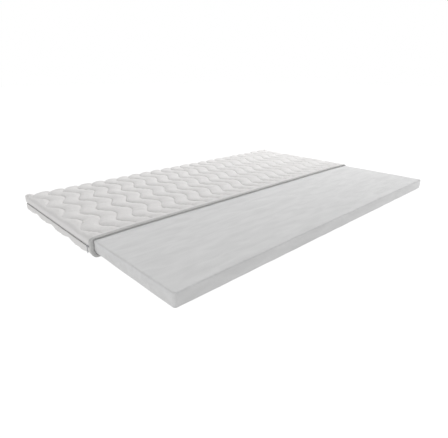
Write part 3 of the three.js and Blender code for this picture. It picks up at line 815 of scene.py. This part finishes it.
for panelOf in panels:
    name, step = panelOf["name"], stitching["length"] / stitching["samples"]
    start = cover["legEnd"] - stitching["underBinding"]
    seamX, seamY = panelOf["seamX"] - stitching["fromHem"], panelOf["seamY"] - stitching["fromHem"]
    y = np.arange(start, seamY - stitching["linesEnd"], step)
    lines = np.stack([stitchLine(number, y, panelOf) for number in range(quilting["lines"])])
    threadOnPanel(name + "Thread", lines, y, panelOf)
    y = np.arange(start, seamY, step)
    threadOnPanel(name + "EndHemThread", np.array([[-seamX], [seamX]]), y, panelOf)
    x = np.arange(-seamX, seamX, step)[None]
    threadOnPanel(name + "BackHemThread", x, np.full_like(x, seamY), panelOf)
print("stitching made")


# ---- Linings

lining = {
    "offset": 0.0006,  # its middle, from the foam
    "thickness": 0.0005,
    "roll": 0.0066,
    "corner": 0.0126,
    "edge": 0.0114,  # its lower edge, above the middle plane
    "front": 0.5748,
    "flatColumns": 130,
    "flatRows": 60,
    "rollSteps": 6,
    "sideSteps": 4,
}


def liningSheet(name, node, below):
    offset, roll = lining["offset"], lining["roll"]
    halfX, halfY, top = halfLength + offset, slabWidth + offset, halfSlab + offset
    shape = makeWrap(halfX, halfY, roll, roll, lining["corner"], 2, top)
    down = np.concatenate(
        [
            np.linspace(0, shape["rollLength"], lining["rollSteps"] + 1)[:-1],
            shape["rollLength"] + np.linspace(0, top - roll - lining["edge"], lining["sideSteps"] + 1),
        ]
    )
    pastX, pastY = shape["flatX"] + down, shape["flatY"] + down
    flatX = np.linspace(-shape["flatX"], shape["flatX"], lining["flatColumns"])[1:-1]
    flatY = np.linspace(lining["front"], shape["flatY"], lining["flatRows"])[:-1]
    x, y = np.concatenate([-pastX[::-1], flatX, pastX]), np.concatenate([flatY, pastY])
    clothX, clothY = np.meshgrid(x, y)
    points = toPlace(wrapped(shape, clothX, clothY).reshape(-1, 3), below)
    quads = gridQuads(*clothX.shape)
    if below:
        quads = quads[:, ::-1]
    mesh = makeMesh(name, points, quads, uv=np.stack([clothX, clothY], -1).reshape(-1, 2))
    piece = addPiece(name, mesh, liningFleece, "cover", [node])
    solid = piece.modifiers.new("thickness", "SOLIDIFY")
    solid.thickness = lining["thickness"]
    solid.offset = 0
    return piece


liningSheet("upperLining", "upper_lining", False)
liningSheet("lowerLining", "lower_lining", True)
print("linings made")


# ---- Zip

zipOf = {
    "tapeInner": 0.0109,  # from the slab's face
    "tapeThickness": 0.0006,
    "tapeNear": 0.0008,  # its edges, from the middle plane
    "tapeFar": 0.0108,
    "tapeStep": 0.004,
    "chainFront": 0.565,
    "toothPitch": 0.0022,
    "toothInner": 0.0119,
    "toothOuter": 0.0137,
    "toothWidth": 0.0004,
    "toothSides": 6,
    # A tooth's rings from its tip, past the middle plane, to its root: levels, and shares of its width
    # and depth
    "toothLevels": (-0.0005, 0.0, 0.0009, 0.0028),
    "toothWidths": (0.6, 1.25, 0.8, 0.9),
    "toothDepths": (0.7, 0.95, 0.9, 1.0),
}


def borderPath(out, start, step):
    # Points round the cover's border in plan, at a distance out from the slab's faces, evenly spaced:
    # straight from the mouth, a quarter circle, straight along the back, another, and straight back
    radius = cover["corner"] - cover["overhang"] + out
    cornerX = halfLength + cover["overhang"] - cover["corner"]
    cornerY = slabWidth + cover["overhang"] - cover["corner"]
    arc = quarter * radius
    runs = np.cumsum([0, cornerY - start, arc, 2 * cornerX, arc, cornerY - start])
    along = np.linspace(0, runs[-1], int(runs[-1] / step) + 1)
    turn1 = np.clip((along - runs[1]) / radius, 0, quarter)
    turn2 = np.clip((along - runs[3]) / radius, 0, quarter)
    heading = quarter - turn1 - turn2
    x = -cornerX - radius * np.cos(turn1)
    x = x + np.clip(along - runs[2], 0, 2 * cornerX) + radius * np.sin(turn2)
    y = start + np.clip(along, 0, cornerY - start) + radius * np.sin(turn1)
    y = y - radius * (1 - np.cos(turn2)) - np.clip(along - runs[4], 0, None)
    tangent = np.stack([np.cos(heading), np.sin(heading)], -1)
    outward = np.stack([-np.sin(heading), np.cos(heading)], -1)
    return np.stack([x, y], -1), tangent, outward, along


def zipTape(name, node, side):
    # A thin rectangle carried round the border, on its edge
    path, _, outward, along = borderPath(zipOf["tapeInner"], cover["mouth"], zipOf["tapeStep"])
    out = np.array([0, 1, 1, 0]) * zipOf["tapeThickness"]
    level = np.array([zipOf["tapeNear"]] * 2 + [zipOf["tapeFar"]] * 2)
    flat = path[:, None] + outward[:, None] * out[:, None]
    count = len(path)
    up = np.broadcast_to(side * level, (count, 4))
    points = toPlace(np.concatenate([flat, up[..., None]], -1).reshape(-1, 3))
    ends = np.array([np.arange(4), 4 * count - 1 - np.arange(4)])
    quads = np.concatenate([gridQuads(count, 4, closedColumns=True), ends[:, ::-1]])
    if side > 0:
        quads = quads[:, ::-1]
    uv = np.stack([np.repeat(along, 4), np.tile(level, count)], -1)
    mesh = makeMesh(name, points, quads, uv=uv)
    mesh.polygons.foreach_set("use_smooth", np.zeros(len(mesh.polygons), bool))
    return addPiece(name, mesh, zipRibbon, "cover", [node])


def zipTeeth(name, node, side):
    # One coil turn is a bar across the chain with a wider head: rings at four levels, carried to even
    # places along the border. The two sides stand half a pitch apart and so interlock.
    pitch, sides, rings = zipOf["toothPitch"], zipOf["toothSides"], len(zipOf["toothLevels"])
    path, tangent, outward, along = borderPath(zipOf["toothInner"], zipOf["chainFront"], pitch / 8)
    spots = np.arange(pitch * (0.5 if side > 0 else 1.0), along[-1] - pitch, pitch)
    at, way, out = (
        np.stack([np.interp(spots, along, values[:, axis]) for axis in range(2)], -1)[:, None, None]
        for values in (path, tangent, outward)
    )
    around = 2 * math.pi * (np.arange(sides) + 0.5) / sides
    reach = (zipOf["toothOuter"] - zipOf["toothInner"]) / 2
    widths = np.array(zipOf["toothWidths"])[:, None] * zipOf["toothWidth"]
    depths = np.array(zipOf["toothDepths"])[:, None] * reach
    lengthwise = (widths * np.cos(around))[..., None]
    outwards = (reach + depths * np.sin(around))[..., None]
    flat = at + way * lengthwise + out * outwards
    level = side * np.array(zipOf["toothLevels"])[:, None, None]
    points = np.concatenate([flat, np.broadcast_to(level, flat.shape[:3] + (1,))], -1)
    caps = np.array([[0, 1, 2, 3], [0, 3, 4, 5]])
    quads = gridQuads(rings, sides, closedColumns=True)
    quads = np.concatenate([quads, caps[:, ::-1], caps + sides * (rings - 1)])
    if side > 0:
        quads = quads[:, ::-1]
    quads = (quads[None] + (np.arange(len(spots)) * sides * rings)[:, None, None]).reshape(-1, 4)
    mesh = makeMesh(name, toPlace(points.reshape(-1, 3)), quads)
    return addPiece(name, mesh, nylon, "cover", [node])


zipTape("upperZipTape", "upper_zip_tape", 1)
zipTape("lowerZipTape", "lower_zip_tape", -1)
zipTeeth("upperZipTeeth", "upper_zip_coil", 1)
zipTeeth("lowerZipTeeth", "lower_zip_coil", -1)
metal = "upper_zip_stop lower_zip_stop zip_end_stop zip_slider zip_pull_link zip_pull_tab"
for node in metal.split():
    piece = nodes[node]
    piece.data.materials.clear()
    piece.data.materials.append(nickel)
print("zip made")


# ---- Binding round the mouth

binding = {
    "thickness": 0.0008,
    "innerThickness": 0.0006,
    "innerRadius": 0.0063,
    "gap": 0.0003,
    "roll": 0.004,  # how far the fold stands out in front
    "rollPower": 0.8,
    "lip": 0.0027,  # how far the fold stands off the foam over its top, with a dark gap under it
    "lipFrom": 0.3,  # share of the slab's half height at which that starts
    "legStart": 0.001,
    "legRings": 5,
    "foldRings": 19,
    "curvePoints": 60,  # round a quarter of the mouth, after its flat
    "flatPoints": 160,
    "uvStep": 0.0012,
}


def bindingBand():
    # Both faces of the folded ribbon follow the mouth: the outer one the panels' section there, the
    # inner one the slab's. Its section is a U lying on its side, carried round as a closed loop.
    radius, clear = binding["innerRadius"], binding["gap"]
    halfX, halfZ = halfLength + clear, halfSlab + clear
    flatX = min(panelOf["shape"]["flatX"] for panelOf in panels)
    topRun = halfX - radius - flatX
    arc = quarter * radius
    sideRun = halfZ - radius - cover["hemLevel"]
    part = np.linspace(0, 1, binding["curvePoints"])
    past = part * (topRun + arc + sideRun)
    angle = quarter - np.clip(past - topRun, 0, arc) / radius
    innerX = flatX + np.clip(past, 0, topRun) + radius * np.cos(angle)
    innerZ = halfZ - radius + radius * np.sin(angle) - np.clip(past - topRun - arc, 0, None)

    def besidePanel(panelOf, extra):
        # The panel's section at the mouth, a little further out
        clothX = blendTo(flatX, panelOf["seamX"], part)
        lift = panelOf["mouthPuff"]
        return wrapped(panelOf["shape"], clothX, cover["mouth"], lift, panelOf, extra)[:, [0, 2]]

    def loop(above, under):
        # Round the whole mouth from the top's middle, from one quarter above and one below
        flats = np.linspace(0, flatX, binding["flatPoints"])[:-1, None]
        top, bottom = (
            np.concatenate([np.concatenate([flats, np.full_like(flats, curve[0, 1])], -1), curve])
            for curve in (above, under)
        )
        right = np.concatenate([top, bottom[::-1] * [1, -1]])
        left = right[::-1] * [-1, 1]
        return np.concatenate([right, left[1:-1]])

    def ring(face, y):
        return np.concatenate([face, np.full((len(face), 1), y)], -1)[:, None]

    innerCurve = np.stack([innerX, innerZ], -1)
    innerBack = innerCurve + np.stack([np.cos(angle), np.sin(angle)], -1) * binding["innerThickness"]
    lowFace, lowBack = loop(innerCurve, innerCurve), loop(innerBack, innerBack)
    highBack, highFace = (
        loop(besidePanel(upperPanel, extra), besidePanel(lowerPanel, extra))
        for extra in (clear, clear + binding["thickness"])
    )
    legEnd, wall = cover["legEnd"], cover["mouth"] - clear
    upFace = easeIn(lowFace[:, 1], binding["lipFrom"] * halfSlab, halfSlab)
    lip = binding["lip"] * upFace[:, None] * [0, 1]
    legY = np.linspace(cover["mouth"] + binding["legStart"], legEnd, binding["legRings"])
    rings = [ring(lowFace + lip * (legEnd - y) / (legEnd - legY[0]), y) for y in legY[::-1]]
    for turn in np.linspace(0, math.pi, binding["foldRings"]):
        face = blendTo(lowFace + lip, highFace, (1 - np.cos(turn)) / 2)
        rise = np.clip(np.sin(turn), 0, 1) ** binding["rollPower"]
        rings.append(ring(face, wall - binding["thickness"] - binding["roll"] * rise))
    rings += [ring(highFace, y) for y in legY]
    rings += [ring(highBack, legEnd), ring(highBack, wall)]
    rings += [ring(lowBack + lip, wall), ring(lowBack, legEnd)]
    section = np.concatenate(rings, 1)[..., [0, 2, 1]]
    count, size = section.shape[:2]
    run = np.concatenate([[0], np.cumsum(np.hypot(*np.diff(highFace, axis=0).T))])
    uv = np.stack([np.repeat(run, size), np.tile(np.arange(size) * binding["uvStep"], count)], -1)
    quads = gridQuads(count, size, closedRows=True, closedColumns=True)
    mesh = makeMesh("mouthBinding", toPlace(section.reshape(-1, 3)), quads, uv=uv)
    addPiece("mouthBinding", mesh, bindingRibbon, "cover", ["mouth_binding"])
    # Its one row of stitches, near the leg's edge
    even = np.arange(0, run[-1], stitching["length"] / stitching["samples"])
    path, below = (
        np.stack([np.interp(even, run, face[:, axis]) for axis in range(2)], -1)
        for face in (highFace, highBack)
    )
    path, below = (
        toPlace(ring(face, legEnd - stitching["fromEdge"])[:, 0, [0, 2, 1]])[None]
        for face in (path, below)
    )
    threadTube("bindingThread", path, unit(path - below), closed=True)


bindingBand()
print("binding made")


# ---- Camera, lights and floor

photo = {
    "place": (-1.562, frontY - 0.848, middleZ - halfSlab + 0.697),
    "turn": 46.02 - 90,
    "down": 20.91,
    "lens": 29.77,
    "shift": (-0.01875, -0.0019),
}
cameraData = bpy.data.cameras.new("photoCamera")
cameraData.lens = photo["lens"]
cameraData.sensor_width = 36
cameraData.shift_x, cameraData.shift_y = photo["shift"]
camera = newObject("photoCamera", cameraData)
camera.location = photo["place"]
camera.rotation_euler = (math.radians(90 - photo["down"]), 0, math.radians(photo["turn"]))
scene.camera = camera

studio = {
    "wallLevel": 0.79,  # what the white room's walls and its dimmer ceiling throw at the object
    "ceilingLevel": 0.335,
    "floorGlow": 0.86,  # share of the floor's brightness that no shadow dims
    "floorWhite": 1.12,
    "floorLight": 0.75,  # what the floor throws up at the object
    "lamps": [  # name, power, size, place and what it points at
        ("backSoftbox", 148.0, (3.4, 1.6), (3.3, 2.1, 2.9), (-0.1, 0.1, 0)),
        ("leftFill", 13.0, (2.4, 1.6), (-3.4, -0.2, 1.5), (-1.0, 0, 0)),
        ("rightFill", 7.0, (0.9, 0.7), (1.9, -2.2, 0.5), (1.0, -0.7, 0)),
    ],
    "floorHalf": 30,
    "floorLevel": -0.0004,
}


def byEye(tree, lighting, seen):
    # One value where the surface lights the object, and one where a camera, mirror or glass looks at it
    rays = addNode(tree, "LightPath").outputs
    eye = 0.0
    for kind in ("Camera", "Glossy", "Transmission"):
        eye = addNode(tree, "Math", {0: eye, 1: rays[f"Is {kind} Ray"]}, operation="MAXIMUM").outputs[0]
    level = addNode(tree, "MapRange", {"Value": eye, "To Min": lighting, "To Max": seen})
    return level.outputs["Result"]


world = bpy.data.worlds.new("studioWhite")
world.use_nodes = True
scene.world = world
tree = world.node_tree
tree.nodes.clear()
heading = addNode(tree, "SeparateXYZ", {"Vector": addNode(tree, "TexCoord").outputs["Generated"]})
room = addNode(
    tree,
    "MapRange",
    {"Value": heading.outputs["Z"], "To Min": studio["wallLevel"], "To Max": studio["ceilingLevel"]},
)
level = byEye(tree, room.outputs["Result"], 1.0)
background = addNode(tree, "Background", {"Color": (1, 1, 1, 1), "Strength": level})
addNode(tree, "OutputWorld", {"Surface": background.outputs["Background"]})

for name, power, size, place, aim in studio["lamps"]:
    lampData = bpy.data.lights.new(name, "AREA")
    lampData.shape = "RECTANGLE"
    lampData.size, lampData.size_y = size
    lampData.energy = power
    lamp = newObject(name, lampData)
    lamp.location = place
    away = mathutils.Vector(aim) - mathutils.Vector(place)
    lamp.rotation_euler = away.to_track_quat("-Z", "Y").to_euler()

floorMaterial = bpy.data.materials.new("studioFloor")
floorMaterial.use_nodes = True
tree = floorMaterial.node_tree
tree.nodes.clear()
paper = addNode(tree, "BsdfDiffuse", {"Color": (0.9, 0.9, 0.9, 1)})
level = byEye(tree, studio["floorLight"], studio["floorWhite"])
glow = addNode(tree, "Emission", {"Color": (1, 1, 1, 1), "Strength": level}).outputs["Emission"]
mixed = addNode(tree, "MixShader", {0: studio["floorGlow"], 1: paper.outputs["BSDF"], 2: glow})
addNode(tree, "OutputMaterial", {"Surface": mixed.outputs["Shader"]})
corners = studio["floorHalf"] * np.array([[-1, -1, 0], [1, -1, 0], [1, 1, 0], [-1, 1, 0]])
floorMesh = makeMesh("studioFloor", corners + [0, 0, studio["floorLevel"]], [[0, 1, 2, 3]])
floorMesh.materials.append(floorMaterial)
floor = newObject("studioFloor", floorMesh)

scene.view_settings.view_transform = "Standard"

print("scene finished")
